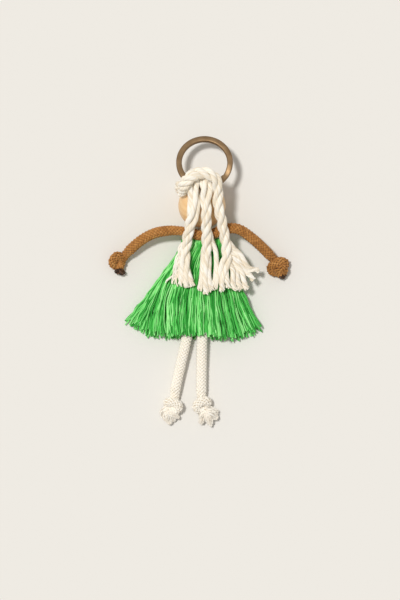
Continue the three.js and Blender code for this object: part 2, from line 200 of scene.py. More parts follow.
# Spun cotton is matt: each yarn has its own tone, with patches along it and a fine hairy grain.
def yarnMaterial(name, dark, middle, light, patchWidth, sheen=0.25, creaseShade=None):
    fibre = {
        "width": 0.0003,  # real fibres are a tenth of this, too fine to show
        "relief": 0.35,
        "patchShare": 0.4,
        "darkBelow": 0.2,
        "lightAbove": 0.8,
        "shadedCrease": (0.35, 0.8),  # depth under the next strand at which the painted shade starts and is full
        "creaseShadeShare": 0.9,
    }
    finish = {"Roughness": 0.92, "Specular IOR Level": 0.18, "Sheen Weight": sheen, "Sheen Roughness": 0.45}
    material, surface, node, place = startMaterial(name, finish)
    tone = node("ShaderNodeAttribute", attribute_name="tone").outputs["Fac"]
    patch = node("ShaderNodeTexNoise", {"Vector": place, "Scale": 1 / patchWidth, "Detail": 2.0})
    mixed = node("ShaderNodeMix",
                 {0: fibre["patchShare"], 2: tone, 3: patch.outputs["Fac"]}, data_type="FLOAT")
    ramp = node("ShaderNodeValToRGB", {0: mixed})
    ends = ((fibre["darkBelow"], dark), (fibre["lightAbove"], light))
    for stop, (at, code) in zip(ramp.color_ramp.elements, ends):
        stop.position = at
        stop.color = colour(code)
    ramp.color_ramp.elements.new(0.5).color = colour(middle)
    shown = ramp.outputs[0]
    if creaseShade:  # painted shade where a braided strand dives under the next
        under = node("ShaderNodeAttribute", attribute_name="under").outputs["Fac"]
        start, full = fibre["shadedCrease"]
        deep = node("ShaderNodeMapRange", {0: under, 1: start, 2: full, 3: 0.0, 4: fibre["creaseShadeShare"]})
        shadedCrease = node("ShaderNodeMix", {0: deep, 6: shown, 7: colour(creaseShade)}, data_type="RGBA")
        shown = shadedCrease.outputs[2]
    grain = node("ShaderNodeTexNoise", {"Vector": place, "Scale": 1 / fibre["width"], "Detail": 3.0})
    finishMaterial(material, surface, shown, grain.outputs["Fac"], fibre["relief"])
    return material


# Beech, turned and sanded: pale honey and half matt, with faint growth rings and short dark pores.
def beechMaterial():
    wood = {
        "early": "ecc28c",
        "late": "f3cd98",
        "pore": "b98a4e",
        "ringWidth": 0.003307,
        "poreWidth": 0.0005556,  # real pores are 0.1 mm wide, too fine to show
        "stained": (0.6, 0.75),  # noise at which a pore starts and is full
        "stainShare": 0.3,
        "poreStretch": 0.08,
        "heart": (0.012, 0.02, 0.03),  # how far off the middle of the tree lies
        "tilt": (0.3, 0.2, 0.5),
        "relief": 0.12,
    }
    material, surface, node, place = startMaterial("turned beech", {"Roughness": 0.42, "Coat Weight": 0.08})
    tilt = node("ShaderNodeMapping", {"Vector": place, "Location": wood["heart"], "Rotation": wood["tilt"]})
    waves = math.tau / 20 / wood["ringWidth"]  # the node draws 20 / tau waves a unit
    rings = node("ShaderNodeTexWave",
                 {"Vector": tilt, "Scale": waves, "Distortion": 3.0, "Detail": 2.0, "Detail Scale": 1.6},
                 wave_type="RINGS")
    ramp = node("ShaderNodeValToRGB", {0: rings.outputs["Fac"]})
    for stop, code in zip(ramp.color_ramp.elements, (wood["early"], wood["late"])):
        stop.color = colour(code)
    along = node("ShaderNodeMapping", {"Vector": tilt, "Scale": (1.0, wood["poreStretch"], 1.0)})
    pores = node("ShaderNodeTexNoise", {"Vector": along, "Scale": 1 / wood["poreWidth"], "Detail": 2.0})
    start, full = wood["stained"]
    sharp = node("ShaderNodeMapRange",
                 {0: pores.outputs["Fac"], 1: start, 2: full, 3: 0.0, 4: wood["stainShare"]})
    stained = node("ShaderNodeMix", {0: sharp, 6: ramp, 7: colour(wood["pore"])}, data_type="RGBA")
    finishMaterial(material, surface, stained.outputs[2], pores.outputs["Fac"], wood["relief"])
    return material


# Spring steel: a cloudy metal with a soft, worn gloss, whose brownish grey holds the brown of its
# surroundings painted in as reflection.
def steelMaterial():
    steelFinish = {
        # worn and clean patches, both carrying the painted brown reflection
        "worn": "6f5940",
        "clean": "856d51",
        "span": (0.3, 0.7),  # noise from worn to clean, and from bright to dull
        "cloudWidth": 0.003846,
        "scratchWidth": 0.0003846,  # real ones are finer and wouldn't show
        "gloss": (0.36, 0.52),
        "relief": 0.06,
    }
    finish = {"Metallic": 1.0, "Roughness": 0.42}
    material, surface, node, place = startMaterial("worn steel with painted brown reflection", finish)
    cloud = node("ShaderNodeTexNoise", {"Vector": place, "Scale": 1 / steelFinish["cloudWidth"], "Detail": 4.0})
    ramp = node("ShaderNodeValToRGB", {0: cloud.outputs["Fac"]})
    tones = (steelFinish["worn"], steelFinish["clean"])
    for stop, at, code in zip(ramp.color_ramp.elements, steelFinish["span"], tones):
        stop.position = at
        stop.color = colour(code)
    scratch = node("ShaderNodeTexNoise",
                   {"Vector": place, "Scale": 1 / steelFinish["scratchWidth"], "Detail": 3.0}).outputs["Fac"]
    start, full = steelFinish["span"]
    bright, dull = steelFinish["gloss"]
    rough = node("ShaderNodeMapRange", {0: scratch, 1: start, 2: full, 3: bright, 4: dull})
    material.node_tree.links.new(rough.outputs[0], surface.inputs["Roughness"])
    finishMaterial(material, surface, ramp.outputs[0], scratch, steelFinish["relief"])
    return material


# Undyed cotton, loosely laid: warm cream, with soft shade between its plies.
hairCotton = yarnMaterial("undyed cotton rope", "efe2cb", "fbf3e4", "fffbf3", 0.006, sheen=0.15)
# Bleached cotton, braided tight: nearly white, with beige shade painted wherever one strand dives under
# another.
legCotton = yarnMaterial("bleached braided cotton", "f7eee0", "fff9ee", "fffcf5", 0.005, sheen=0.15,
                         creaseShade="d2c3a8")
# Dyed cotton yarn: a fresh green, deep between the yarns and yellower where the light catches one.
greenCotton = yarnMaterial("green dyed cotton yarn", "1f8f2b", "5fd462", "acfda2", 0.01, sheen=0.08)
# Dyed cotton, knitted: ochre brown on the raised stitches, with shade painted almost black inside them.
brownCotton = yarnMaterial("brown knitted cotton", "8c5b2c", "b57d42", "dba565", 0.004, sheen=0.1,
                           creaseShade="3c200c")
# The same cord where it is cut: its ends dark and dull, their brown darkened as painted shade.
shadedCutBrown = yarnMaterial("dark cut brown cotton", "2a1a0e", "4a3120", "6b4a30", 0.003)
beech = beechMaterial()
steelWithPaintedReflection = steelMaterial()
print("materials:", len(bpy.data.materials))


# Paths. A route is a smooth curve through given points, in millimetres, sampled at even steps.
def mm(point):
    return [1000 * value for value in point]


def runOf(path):
    return np.concatenate([[0], np.cumsum(np.linalg.norm(np.diff(path, axis=0), axis=1))])


def evenly(path, step):
    run = runOf(path)
    at = np.linspace(0, run[-1], max(2, round(run[-1] / step) + 1))
    return np.stack([np.interp(at, run, path[:, k]) for k in range(3)], 1)


def routeCurve(points, step):
    given = np.array(points, float) / 1000
    ends = np.vstack([2 * given[0] - given[1], given, 2 * given[-1] - given[-2]])
    spanSteps = 24
    t = np.linspace(0, 1, spanSteps, endpoint=False)[:, None]
    spans = []
    for a, b, c, d in zip(ends, ends[1:], ends[2:], ends[3:]):
        g1, g2, g3 = (max(np.linalg.norm(q - p), 1e-9) ** 0.5 for p, q in ((a, b), (b, c), (c, d)))
        m1 = ((b - a) / g1 - (c - a) / (g1 + g2) + (c - b) / g2) * g2
        m2 = ((c - b) / g2 - (d - b) / (g2 + g3) + (d - c) / g3) * g2
        spans.append(b + m1 * t + (3 * (c - b) - 2 * m1 - m2) * t ** 2 + (2 * (b - c) + m1 + m2) * t ** 3)
    return evenly(np.vstack([*spans, given[-1:]]), step)


# Two directions square to a path, which turn as little as they can along it.
def framesOf(path):
    tangents = np.gradient(path, axis=0)
    tangents /= np.linalg.norm(tangents, axis=1, keepdims=True)
    normal = np.array([0.05, 0.02, 1.0])  # up, and a little off, so that no path runs along it
    normals = []
    for tangent in tangents:
        normal = normal - tangent * (normal @ tangent)
        normal = normal / np.linalg.norm(normal)
        normals.append(normal)
    return np.array(normals), np.cross(tangents, normals)


def turned(angle, normals, sides):
    angle = np.reshape(angle, (-1, 1))
    return (np.cos(angle) * normals + np.sin(angle) * sides, np.cos(angle) * sides - np.sin(angle) * normals)


# Guides are loose lines of points with values on them, which the node trees turn into yarn.
def guideObject(guides):
    mesh = bpy.data.meshes.new("guide")
    points = np.vstack([guide["points"] for guide in guides])
    edges, first = [], 0
    for guide in guides:
        edges += [(i, i + 1) for i in range(first, first + len(guide["points"]) - 1)]
        first += len(guide["points"])
    mesh.from_pydata(points.tolist(), edges, [])
    for key in guides[0]:
        if key == "points":
            continue
        values = np.concatenate([np.broadcast_to(g[key], (len(g["points"]),) + np.shape(g[key])[1:])
                                 for g in guides]).astype(np.float32)
        isVector = values.ndim == 2
        attribute = mesh.attributes.new(key, "FLOAT_VECTOR" if isVector else "FLOAT", "POINT")
        attribute.data.foreach_set("vector" if isVector else "value", values.ravel())
    return addPiece("guide", mesh)


def newTree(name, sizes, whole):
    tree = bpy.data.node_groups.new(name, "GeometryNodeTree")
    sockets = {"Geometry": "Geometry", **dict.fromkeys(sizes, "Float"), **dict.fromkeys(whole, "Int"),
               "Material": "Material"}
    for label, kind in sockets.items():
        tree.interface.new_socket(label, in_out="INPUT", socket_type=f"NodeSocket{kind}")
    tree.interface.new_socket("Geometry", in_out="OUTPUT", socket_type="NodeSocketGeometry")
    node = partial(addNode, tree)
    return tree, node, node("NodeGroupInput").outputs


def grow(name, tree, guides, values):
    guide = guideObject(guides)
    modifier = guide.modifiers.new("grow", "NODES")
    modifier.node_group = tree
    for item in tree.interface.items_tree:
        if item.in_out == "INPUT" and item.name in values:
            modifier[item.identifier] = values[item.name]
    bpy.context.view_layer.update()
    evaluated = guide.evaluated_get(bpy.context.evaluated_depsgraph_get())
    piece = addPiece(name, bpy.data.meshes.new_from_object(evaluated))
    bpy.data.objects.remove(guide)
    print(name, len(piece.data.polygons), "faces")
    return piece


def tubes(node, lines, sides, radius, thick):
    ring = node("GeometryNodeCurvePrimitiveCircle", {"Resolution": sides, "Radius": radius})
    return node("GeometryNodeCurveToMesh",
                {"Curve": lines, "Profile Curve": ring, "Scale": thick, "Fill Caps": True})


def finishTree(node, shape, given):
    smooth = node("GeometryNodeSetShadeSmooth", {"Geometry": shape})
    real = node("GeometryNodeRealizeInstances", {"Geometry": smooth})
    dressed = node("GeometryNodeSetMaterial", {"Geometry": real, "Material": given["Material"]})
    node("NodeGroupOutput", {0: dressed})


# Yarns that share a guide: round its edge where the guide's loose is 0, anywhere inside where it is 1.
def buildYarnTree():
    sizes = ("Yarn Radius", "Wander", "Wander Size", "Gather", "Gather Size", "Ragged")
    tree, node, given = newTree("yarnBundle", sizes, whole=("Sides", "Seed"))
    read = {}
    for label in ("count", "loose", "thick", "across", "rise"):
        kind = "FLOAT_VECTOR" if label in ("across", "rise") else "FLOAT"
        read[label] = node("GeometryNodeInputNamedAttribute", {"Name": label}, data_type=kind)
    lines = node("GeometryNodeMeshToCurve", {"Mesh": given["Geometry"]})
    copies = node("GeometryNodeDuplicateElements",
                  {"Geometry": lines, "Amount": read["count"]}, domain="SPLINE")
    shape, chance = copies, {}  # draws of each yarn's own
    for step, label in enumerate(("tone", "reach", "bearing", "cut")):
        seed = node("ShaderNodeMath", {0: given["Seed"], 1: step}, operation="ADD")
        value = node("FunctionNodeRandomValue", {"Seed": seed}, data_type="FLOAT")
        shape = node("GeometryNodeStoreNamedAttribute",
                     {"Geometry": shape, "Name": label, "Value": value.outputs[1]}, data_type="FLOAT",
                     domain="CURVE")
        chance[label] = node("GeometryNodeInputNamedAttribute", {"Name": label}, data_type="FLOAT")
    share = node("ShaderNodeMath", {0: copies.outputs[1], 1: read["count"]}, operation="DIVIDE")
    places = []  # on the guide's edge, and inside it
    for turn in (share, chance["bearing"]):
        angle = node("ShaderNodeMath", {0: turn, 1: math.tau}, operation="MULTIPLY")
        cosine = node("ShaderNodeMath", {0: angle}, operation="COSINE")
        sine = node("ShaderNodeMath", {0: angle}, operation="SINE")
        places.append(node("ShaderNodeCombineXYZ", {0: cosine, 1: sine}))
    reach = node("ShaderNodeMath", {0: chance["reach"]}, operation="SQRT")
    inside = node("ShaderNodeVectorMath", {0: places[1], 3: reach}, operation="SCALE")
    place = node("ShaderNodeMix", {0: read["loose"], 4: places[0], 5: inside}, data_type="VECTOR")
    parts = node("ShaderNodeSeparateXYZ", {0: place.outputs[1]})
    sideways = node("ShaderNodeVectorMath", {0: read["across"], 3: parts}, operation="SCALE")
    upwards = node("ShaderNodeVectorMath", {0: read["rise"], 3: parts.outputs[1]}, operation="SCALE")
    offset = node("ShaderNodeVectorMath", {0: sideways, 1: upwards}, operation="ADD")
    # each yarn wanders by a noise of its own
    own = node("ShaderNodeCombineXYZ", {0: chance["tone"], 1: chance["reach"], 2: chance["bearing"]})
    spot = node("GeometryNodeInputPosition")
    moved = node("ShaderNodeVectorMath", {0: spot, 1: own}, operation="ADD")
    scale = node("ShaderNodeMath", {0: 1.0, 1: given["Wander Size"]}, operation="DIVIDE")
    noise = node("ShaderNodeTexNoise", {"Vector": moved, "Scale": scale, "Detail": 1.0})
    centred = node("ShaderNodeVectorMath",
                   {0: noise.outputs["Color"], 1: (0.5, 0.5, 0.5)}, operation="SUBTRACT")
    strength = node("ShaderNodeMath", {0: given["Wander"], 1: read["loose"]}, operation="MULTIPLY")
    stray = node("ShaderNodeVectorMath", {0: centred, 3: strength}, operation="SCALE")
    total = node("ShaderNodeVectorMath", {0: offset, 1: stray}, operation="ADD")
    spread = node("GeometryNodeSetPosition", {"Geometry": shape, "Offset": total})
    # neighbours gather in long locks: one noise for all, stretched along Y
    long = node("ShaderNodeVectorMath", {0: spot, 1: (1.0, 0.12, 0.5)}, operation="MULTIPLY")
    fine = node("ShaderNodeMath", {0: 1.0, 1: given["Gather Size"]}, operation="DIVIDE")
    field = node("ShaderNodeTexNoise", {"Vector": long, "Scale": fine, "Detail": 1.0})
    level = node("ShaderNodeMath", {0: field.outputs["Fac"], 1: 0.5}, operation="SUBTRACT")
    pull = node("ShaderNodeMath", {0: level, 1: given["Gather"]}, operation="MULTIPLY")
    tail = node("GeometryNodeSplineParameter").outputs["Factor"]
    drawn = node("ShaderNodeMath", {0: pull, 1: tail}, operation="MULTIPLY")
    beside = node("ShaderNodeCombineXYZ", {0: drawn})
    laid = node("GeometryNodeSetPosition", {"Geometry": spread, "Offset": beside})
    # and each is cut a little shorter or longer
    lost = node("ShaderNodeMath", {0: chance["cut"], 1: given["Ragged"]}, operation="MULTIPLY")
    length = node("GeometryNodeSplineLength")
    part = node("ShaderNodeMath", {0: lost, 1: length}, operation="DIVIDE")
    kept = node("ShaderNodeMath", {0: 1.0, 1: part}, operation="SUBTRACT")
    trimmed = node("GeometryNodeTrimCurve", {"Curve": laid, 3: kept})
    finishTree(node, tubes(node, trimmed, given["Sides"], given["Yarn Radius"], read["thick"]), given)
    return tree


# A round braid: half of the strands wind one way and half the other, each over one and under one.
def buildBraidTree():
    sizes = ("Cord Radius", "Core Radius", "Strand Radius", "Pitch", "Ripple")
    tree, node, given = newTree("roundBraid", sizes, whole=("Strands", "Sides", "Seed"))
    coreSides = 12
    darkest, palest = 0.35, 0.65  # of the strands' own tones
    thick = node("GeometryNodeInputNamedAttribute", {"Name": "thick"}, data_type="FLOAT")
    lines = node("GeometryNodeMeshToCurve", {"Mesh": given["Geometry"]})
    copies = node("GeometryNodeDuplicateElements",
                  {"Geometry": lines, "Amount": given["Strands"]}, domain="SPLINE")
    value = node("FunctionNodeRandomValue",
                 {2: darkest, 3: palest, "Seed": given["Seed"]}, data_type="FLOAT")
    toned = node("GeometryNodeStoreNamedAttribute",
                 {"Geometry": copies, "Name": "tone", "Value": value.outputs[1]}, data_type="FLOAT",
                 domain="CURVE")
    half = node("ShaderNodeMath", {0: given["Strands"], 1: 2.0}, operation="DIVIDE")
    paired = node("ShaderNodeMath", {0: copies.outputs[1], 1: 2.0}, operation="DIVIDE")
    whole = node("ShaderNodeMath", {0: paired}, operation="FLOOR")
    odd = node("ShaderNodeMath", {0: copies.outputs[1], 1: 2.0}, operation="MODULO")
    # every second strand winds the other way
    way = node("ShaderNodeMath", {0: odd, 1: 2.0, 2: -1.0}, operation="MULTIPLY_ADD")
    first = node("ShaderNodeMath", {0: whole, 1: half}, operation="DIVIDE")
    start = node("ShaderNodeMath", {0: first, 1: math.tau}, operation="MULTIPLY")
    along = node("GeometryNodeSplineParameter").outputs["Length"]
    turns = node("ShaderNodeMath", {0: along, 1: given["Pitch"]}, operation="DIVIDE")
    turn = node("ShaderNodeMath", {0: turns, 1: math.tau}, operation="MULTIPLY")
    angle = node("ShaderNodeMath", {0: turn, 1: way, 2: start}, operation="MULTIPLY_ADD")
    # it goes out and in once at each crossing
    crossings = node("ShaderNodeMath", {0: turn, 1: half}, operation="MULTIPLY")
    wave = node("ShaderNodeMath", {0: crossings}, operation="COSINE")
    swing = node("ShaderNodeMath", {0: wave, 1: way}, operation="MULTIPLY")
    depth = node("ShaderNodeMath",
                 {0: swing, 1: given["Ripple"], 2: given["Cord Radius"]}, operation="MULTIPLY_ADD")
    reach = node("ShaderNodeMath", {0: depth, 1: thick}, operation="MULTIPLY")
    outwards = node("ShaderNodeVectorRotate", {
        "Vector": node("GeometryNodeInputNormal"),
        "Axis": node("GeometryNodeInputTangent"), "Angle": angle,
    })
    offset = node("ShaderNodeVectorMath", {0: outwards, 3: reach}, operation="SCALE")
    under = node("ShaderNodeMath", {0: swing, 1: -0.5, 2: 0.5}, operation="MULTIPLY_ADD")
    marked = node("GeometryNodeStoreNamedAttribute",
                  {"Geometry": toned, "Name": "under", "Value": under}, data_type="FLOAT", domain="POINT")
    laid = node("GeometryNodeSetPosition", {"Geometry": marked, "Offset": offset})
    core = tubes(node, lines, coreSides, given["Core Radius"], thick)
    joined = node("GeometryNodeJoinGeometry",
                  {0: tubes(node, laid, given["Sides"], given["Strand Radius"], thick)})
    tree.links.new(core.outputs[0], joined.inputs[0])
    finishTree(node, joined, given)
    return tree


yarnTree = buildYarnTree()
braidTree = buildBraidTree()


# The part of a piece that lies past a distance along its guide becomes a piece of its own.
def splitOff(piece, name, limit):
    other = addPiece(name, piece.data.copy())
    for half, past in ((piece, False), (other, True)):
        shape = bmesh.new()
        shape.from_mesh(half.data)
        along = shape.verts.layers.float["along"]
        gone = [f for f in shape.faces if (sum(v[along] for v in f.verts) / len(f.verts) > limit) != past]
        bmesh.ops.delete(shape, geom=gone, context="FACES")
        shape.to_mesh(half.data)
        shape.free()
    return other


# Head: a turned bead, its bore along Y
def makeBead():
    low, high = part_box("head_bead")
    bead = {
        "middle": [(a + b) / 2 for a, b in zip(low, high)],
        "radius": (high[0] - low[0]) / 2,
        "halfLength": (high[1] - low[1]) / 2,
        "bore": 0.0039,
        "round": 0.0009,
        "steps": 128,  # round the bore
        "arcSteps": 60,
        "rimSteps": 5,
    }
    rim = bead["bore"] + bead["round"]
    first = math.asin(rim / bead["radius"])
    stretch = bead["halfLength"] / math.cos(first)
    profile = []
    for angle in np.linspace(first, math.pi - first, bead["arcSteps"]):
        profile.append((bead["radius"] * math.sin(angle), -stretch * math.cos(angle)))
    edge = bead["halfLength"]
    for angle in np.linspace(0, math.pi / 2, bead["rimSteps"] + 1)[1:]:
        profile.append((rim - bead["round"] * math.sin(angle), edge - bead["round"] * (1 - math.cos(angle))))
    for radius, y in reversed(profile[-bead["rimSteps"]:]):
        profile.append((radius, -y))
    x0, y0, z0 = bead["middle"]
    points, faces, rows, steps = [], [], len(profile), bead["steps"]
    for radius, y in profile:
        for k in range(steps):
            turn = math.tau * k / steps
            points.append((x0 + radius * math.cos(turn), y0 + y, z0 + radius * math.sin(turn)))
    for row in range(rows):
        below = (row + 1) % rows
        for k in range(steps):
            beside = (k + 1) % steps
            faces.append((row * steps + k, below * steps + k, below * steps + beside, row * steps + beside))
    piece = addPiece("headBead", closedMesh("headBead", points, faces), beech)
    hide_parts("head_bead")
    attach(piece, "head")
    return bead


bead = makeBead()


# Split ring: two flat turns of wire that step from one level to the other in a short stretch
def makeRing():
    ring = {
        "hold": pivots["ring_swing"],
        "inner": 0.012,
        "width": 0.003,
        "coil": 0.0012,
        "gap": 0.00015,
        "round": 0.00055,
        "tilt": 21.6,
        "stepAngle": 36,
        "endGap": 3,
        "steps": 540,
        "roundSteps": 5,
        "sharp": 40,  # degrees past which an edge isn't smoothed
    }
    half, cut = ring["coil"] / 2, ring["round"]
    near, far = ring["inner"], ring["inner"] + ring["width"]
    section = []
    for x, z, start in ((near + cut, cut - half, 180), (far - cut, cut - half, 270),
                        (far - cut, half - cut, 0), (near + cut, half - cut, 90)):
        for degrees in np.linspace(start, start + 90, ring["roundSteps"]):
            turn = math.radians(degrees)
            section.append((x + cut * math.cos(turn), z + cut * math.sin(turn)))
    level = (ring["coil"] + ring["gap"]) / 2
    stepStart = 360 - ring["stepAngle"]
    end = 360 + stepStart - ring["endGap"]
    tilt = math.radians(ring["tilt"])
    points, faces, sides = [], [], len(section)
    for i in range(ring["steps"] + 1):
        degrees = end * i / ring["steps"]
        share = min(max((degrees - stepStart) / (360 - ring["endGap"] - stepStart), 0), 1)
        height = -level + 2 * level * share * share * (3 - 2 * share)
        turn = math.radians(degrees)
        for radius, z in section:
            x, y, up = radius * math.cos(turn), radius * math.sin(turn) + (near + far) / 2, height + z
            points.append((ring["hold"][0] + x,
                           ring["hold"][1] + y * math.cos(tilt) + up * math.sin(tilt),
                           ring["hold"][2] - y * math.sin(tilt) + up * math.cos(tilt)))
    for i in range(ring["steps"]):
        for k in range(sides):
            a, b = i * sides + k, i * sides + (k + 1) % sides
            faces.append((a, b, b + sides, a + sides))
    faces.append(tuple(range(sides)))
    faces.append(tuple(ring["steps"] * sides + k for k in reversed(range(sides))))
    mesh = closedMesh("splitRing", points, faces)
    mesh.set_sharp_from_angle(angle=math.radians(ring["sharp"]))
    piece = addPiece("splitRing", mesh, steelWithPaintedReflection)
    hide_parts("split_ring")
    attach(piece, "ring")


makeRing()


# Hair: three lengths of cotton rope of three plies each, turned round the ring and loosened at the end
rope = {
    "radius": 0.00295,
    "plyRadius": 0.0015,
    "lay": 0.0205,  # length of one turn of the plies
    "flatten": 1.6,  # how fast an opened rope goes flat
    "yarnLay": 0.012,
    "yarns": 9,
    "inner": 1.6,  # more yarns show where a ply is brushed out
    "fewYarns": 4,  # fewer than this hide none inside
    "yarnRadius": 0.00046,  # real yarns are finer, and wouldn't show
    "step": 0.0008,
    "restGap": 0.0005,
    "wrapRadius": 0.0028,
    "part": 0.97,  # share of the rope's route at which its plies part
    "partSteps": 12,  # steps over which they bend away
    "fray": 0.0045,  # length of a ply's brushed out end
    "frayReach": 1.7,  # how wide that end gets, as a share of the ply
    "frayFlat": 0.4,
    "frayThin": 0.3,
    "crimp": 0.0003,  # a ply keeps the waves of the rope that it came out of
    "crimpLength": 0.014,
    "crimpStart": 0.004,
    "crimpShift": 0.37,
    "bend": (4, 8),  # steps before and after its hinge over which a rope bends
    "every": 4,
    "settings": {"Sides": 6, "Wander": 0.0022, "Wander Size": 0.007, "Ragged": 0.0018,
                 "Material": hairCotton},
}


def onBead(point):
    middle = np.array(bead["middle"])
    away = np.array(point) / 1000 - middle
    reach = bead["radius"] + rope["wrapRadius"] + rope["restGap"]
    return mm(middle + away / np.linalg.norm(away) * reach)


def byRing(point):
    return [a + b for a, b in zip(mm(pivots["ring_swing"]), point)]


# Along each route, as shares of it: how far its plies stand open, and how long their turns are against the
# rope's lay. Strays are loose strands beside the rope, which take what they don't say from stray.
hair = {
    "Left": {
        "route": [
            onBead([-7.2, 46.2, 3]), onBead([-9, 48, 8]), onBead([-8.9, 49.8, 12.5]),
            byRing([-10.4, 2.3, -7.5]), byRing([-8.8, 5, -7.7]), byRing([-7.1, 6.2, -6.2]),
            byRing([-6.1, 6.9, -1]), byRing([-5.8, 5.2, 3.5]), byRing([-5.4, 1.7, 4.8]),
            [-2.8, 47.2, 27.4], onBead([-2.8, 42.5, 27.8]), onBead([-3.2, 37.7, 27.5]), [-3.9, 34, 26.3],
            mm(pivots["hair_left_lift"]), [-5.8, 26, 22.2], [-6.8, 20.7, 19.8], [-7.8, 14.9, 18.4],
            [-7.8, 9.6, 17.9], [-7.6, 4.8, 17.6],
        ],
        "open": [(0.0, 0.95), (0.15, 0.9), (0.34, 0.88), (0.4, 1.15), (0.46, 1.45), (0.57, 1.65),
                 (0.62, 1.6), (0.66, 1.35), (0.71, 1.05), (0.76, 1.0), (0.85, 1.0), (1.0, 1.35)],
        "lays": [(0.0, 0.6), (0.3, 0.6), (0.42, 5.0), (0.6, 8.0), (0.64, 1.2), (0.74, 1.0), (0.85, 1.0),
                 (1.0, 1.8)],
        "roll": -58,  # degrees that lay the opened plies level on the bead
        "turn": 0.28,
        "plies": [
            [[-9.4, 2.7, 17], [-10.7, -2.3, 16.4]], [[-7.2, 2.2, 17.6], [-7.2, -3.6, 17]],
            [[-5.4, 2.7, 17.2], [-3.5, -2.9, 16.6]],
        ],
        "stray": {"yarns": 2, "width": 0.7, "fray": 0.02, "crimp": 0},
        "strays": [
            {"route": [[-9.1, 20.2, 19.8], [-10.7, 16, 19], [-12.5, 9.6, 17.4], [-14.8, 3.2, 15.6],
                       [-17, -1.8, 14]],
             "width": 0.8, "fray": 0.022},
            {"route": [[-9.1, 19.1, 19.4], [-10.5, 14.4, 18.8], [-12, 8.5, 17.2], [-13.7, 2.7, 15.8],
                       [-15.3, -2.3, 14.6]]},
            {"route": [[-8.8, 17.6, 18.6], [-10.2, 12.3, 17.8], [-11.4, 7, 16.8], [-12.7, 1.7, 15.8],
                       [-13.7, -2.6, 15]]},
            {"route": [[-8.8, 16, 18.2], [-9.8, 10.7, 17.4], [-10.6, 5.9, 16.8], [-11.4, 1.1, 16],
                       [-12, -2.9, 15.4]],
             "yarns": 3, "width": 0.8, "fray": 0.016},
        ],
        "seed": 11,
    },
    "Middle": {
        "route": [
            [2.6, 20.5, 7.7], [2, 22.2, 7.9], [1.4, 24.2, 8.7], [1.2, 26.6, 10.4], [1.2, 29.2, 12.1],
            [1.2, 35, 12.5], [1.2, 44.1, 12.5], [1.2, 50.4, 12.5], byRing([-1.3, 4.3, -10]),
            byRing([-0.5, 7.1, -7.4]), byRing([-0.1, 7.5, -3.4]), byRing([0, 6.3, 1]),
            byRing([0.2, 3.8, 4.4]), byRing([0.5, 0.4, 5.6]), [3.4, 47.2, 28.4], onBead([3.4, 43, 28.5]),
            onBead([3.5, 38.8, 28.4]), [3.5, 35, 27.5], mm(pivots["hair_middle_lift"]), [3.6, 26, 22.9],
            [3.6, 20.2, 20.2], [3.5, 13.8, 18.7], [3.1, 8, 18.2],
        ],
        "open": [(0.0, 1.0), (0.35, 1.0), (0.42, 1.25), (0.52, 1.5), (0.58, 1.5), (0.64, 1.15), (0.7, 1.0),
                 (0.88, 1.0), (1.0, 1.3)],
        "lays": [(0.0, 1.0), (0.35, 1.0), (0.42, 1.7), (0.56, 2.2), (0.64, 1.5), (0.72, 1.0), (0.88, 1.0),
                 (1.0, 1.7)],
        "roll": 0,
        "turn": 1.15,
        "plies": [
            [[1, 1.1, 17.6], [-0.1, -5.2, 16.8]], [[3.1, 0.1, 18], [3.5, -7.1, 17.2]],
            [[4.9, 1.1, 17.6], [6.8, -5.5, 16.6]],
        ],
        "stray": {"yarns": 8, "width": 0.9, "fray": 0.005, "crimp": 1},
        "strays": [
            {"route": [[5.5, 25.5, 21.4], [7, 20.2, 18.8], [8.4, 14.4, 17.4], [9.2, 9.1, 16.9],
                       [8.1, 2.7, 16.6], [7.6, -3.1, 16.6]]},
        ],
        "seed": 23,
    },
    "Right": {
        "route": [
            onBead([-7.9, 45.7, 20.5]), byRing([-11.3, -2, 2.4]), byRing([-10.8, 0.4, 8]),
            byRing([-9.1, 2.9, 10.3]), byRing([-6.6, 5, 10.7]), byRing([-3.3, 6.4, 10.3]),
            byRing([0.2, 6.7, 9.9]), byRing([3.4, 5.6, 9.8]), byRing([5.8, 3.2, 8.6]),
            byRing([6.8, 0.2, 6.4]), [9.6, 46.4, 27.3], onBead([9.9, 41.4, 26.3]),
            onBead([10.6, 36.6, 25.4]), [11.2, 33.5, 24.1], mm(pivots["hair_right_lift"]),
            [12.7, 26, 20.9], [13.6, 21.3, 19.1], [14.1, 17.6, 18], [14.3, 13.3, 17.5], [13.3, 8.5, 17.2],
            [12.1, 4.8, 17.1],
        ],
        "open": [(0.0, 0.95), (0.1, 1.2), (0.2, 1.35), (0.33, 1.3), (0.4, 1.05), (0.6, 1.0), (0.88, 1.0),
                 (1.0, 1.4)],
        "lays": [(0.0, 0.55), (0.25, 0.55), (0.35, 1.0), (0.42, 1.1), (0.5, 1.2), (0.6, 1.0), (0.88, 1.0),
                 (1.0, 1.9)],
        "roll": 0,
        "turn": 1.37,
        "plies": [
            [[10, 2.2, 16.9], [7.6, -4.2, 16.4]], [[12.1, 1.1, 17], [11.3, -5.5, 16.4]],
            [[14.2, 2.2, 16.6], [15.5, -3.9, 15.8]],
        ],
        "stray": {"yarns": 9, "width": 0.95, "fray": 0.006, "crimp": 1},
        "strays": [
            {"route": [[15.8, 20.2, 17.6], [18.7, 17, 16.2], [21.1, 14.4, 15.2], [23.2, 10.9, 14.2],
                       [26.1, 7.5, 13], [31.7, 5.1, 11.4]],
             "width": 0.9},
            {"route": [[16.1, 18.6, 16.6], [19.5, 13.8, 15.2], [21.9, 9.1, 14], [24.6, 4.8, 12.8],
                       [28.8, 0.3, 11.4]],
             "width": 0.9},
            {"route": [[15.8, 15.4, 16.4], [19.5, 11.2, 15.2], [21.6, 6.4, 14.2], [23, 1.1, 13.2],
                       [25.6, -4.4, 12.2]]},
            {"route": [[15.5, 13.3, 15.4], [18.5, 8, 14.4], [19.8, 2.2, 13.6], [22.2, -5, 12.6]]},
            {"route": [[15.3, 10.1, 16.8], [17.4, 5.4, 15.8], [17.9, 0.1, 15], [19.3, -5.2, 14.4]]},
        ],
        "seed": 37,
    },
}


